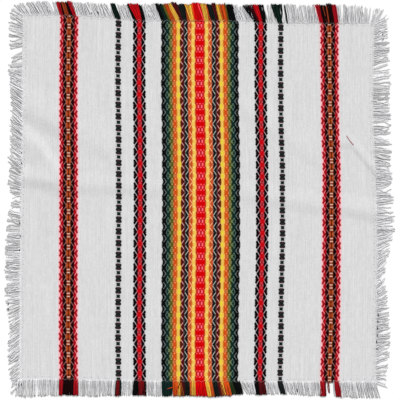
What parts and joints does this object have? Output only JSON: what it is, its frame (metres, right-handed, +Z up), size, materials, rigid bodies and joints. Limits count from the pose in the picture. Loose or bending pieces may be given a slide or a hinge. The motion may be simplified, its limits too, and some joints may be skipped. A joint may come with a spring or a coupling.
{
  "type": "tablecloth",
  "caption": "Small square folk-woven white table cloth with coloured warp stripes and a cut fringe along every edge, lying flat with low creases.",
  "frame": {"origin": "on the surface that the cloth lies on, under the middle of its outline with the fringe", "axes": "+Z up out of the surface, +Y along the warp to the top fringe, +X across the stripes to the right fringe"},
  "size_m": [0.3926, 0.3968, 0.0038],
  "materials": {
    "woven_cotton": "matt",
    "warp_yarn": "matt",
    "weft_yarn": "matt"
  },
  "bodies": {
    "root": {"cloth": "woven_cotton", "fringe_top": "warp_yarn", "fringe_bottom": "warp_yarn", "fringe_left": "weft_yarn", "fringe_right": "weft_yarn"}
  },
  "joints": []
}
